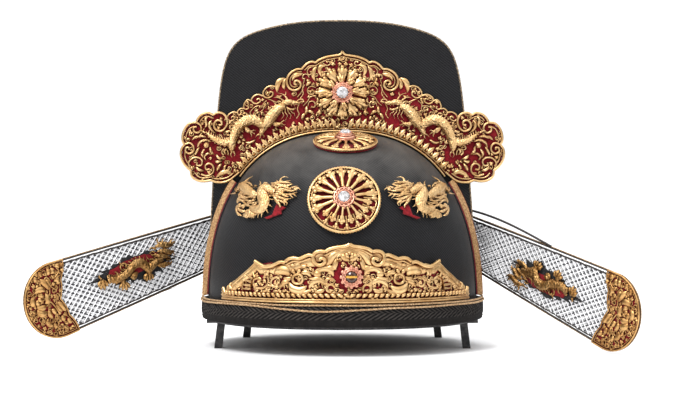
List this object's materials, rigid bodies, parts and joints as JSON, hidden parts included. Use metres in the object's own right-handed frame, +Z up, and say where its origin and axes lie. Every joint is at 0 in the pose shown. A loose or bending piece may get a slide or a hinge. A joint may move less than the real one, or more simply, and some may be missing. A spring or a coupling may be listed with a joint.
{
  "type": "mandarin cap on a stand",
  "caption": "Court official's winged cap of woven horsehair with gilt openwork ornaments and clear stones, set on a plain dark steel stand",
  "frame": {"origin": "on the floor, under the middle of the whole object's box", "axes": "the cap faces -Y, +X is the wearer's left and the viewer's right, +Z is up"},
  "size_m": [0.3898, 0.1964, 0.2155],
  "materials": {
    "woven_horsehair": "fine diagonal weave of black horsehair, matte",
    "black_braid": "padded black braid",
    "gold_cord": "twisted gold thread",
    "gilt_tape": "woven gilt tape with red piping",
    "gilt_metal": "worn gilding on openwork",
    "old_gilt": "dark antique gilding",
    "brass_wire": "thin drawn wire",
    "copper_setting": "pink copper collet that holds a cut stone",
    "crystal": "clear cut stone",
    "tiger_eye": "polished brown stone with a gold band",
    "red_felt": "red felt",
    "black_felt": "black felt",
    "wing_gauze": "black gauze with a net of pale thread",
    "dark_steel": "dark satin paint"
  },
  "bodies": {
    "root": {"front_crown": "woven_horsehair", "rear_crown": "woven_horsehair", "head_band": "black_braid", "band_cord_upper": "gold_cord", "band_cord_lower": "gold_cord", "side_trim_left": "gilt_tape", "side_trim_right": "gilt_tape", "rear_edge_wire": "brass_wire", "crest_felt": "red_felt", "crest_plaque": "gilt_metal", "crest_rosette": "gilt_metal", "crest_dragon_left": "gilt_metal", "crest_dragon_right": "gilt_metal", "front_medallion_felt": "red_felt", "front_medallion": "gilt_metal", "front_stone": "copper_setting", "top_medallion_felt": "red_felt", "top_medallion": "gilt_metal", "top_stone": "copper_setting", "brow_felt": "red_felt", "brow_plaque": "gilt_metal", "brow_stone": "copper_setting", "dome_dragon_left": "gilt_metal", "dome_dragon_left_felt": "red_felt", "dome_dragon_right": "gilt_metal", "dome_dragon_right_felt": "red_felt", "wing_frame_left": "old_gilt", "wing_net_left": "wing_gauze", "wing_tip_felt_left": "red_felt", "wing_tip_left": "old_gilt", "wing_dragon_felt_left": "red_felt", "wing_dragon_left": "old_gilt", "wing_frame_right": "old_gilt", "wing_net_right": "wing_gauze", "wing_tip_felt_right": "red_felt", "wing_tip_right": "old_gilt", "wing_dragon_felt_right": "red_felt", "wing_dragon_right": "old_gilt", "stand": "dark_steel"}
  },
  "joints": []
}
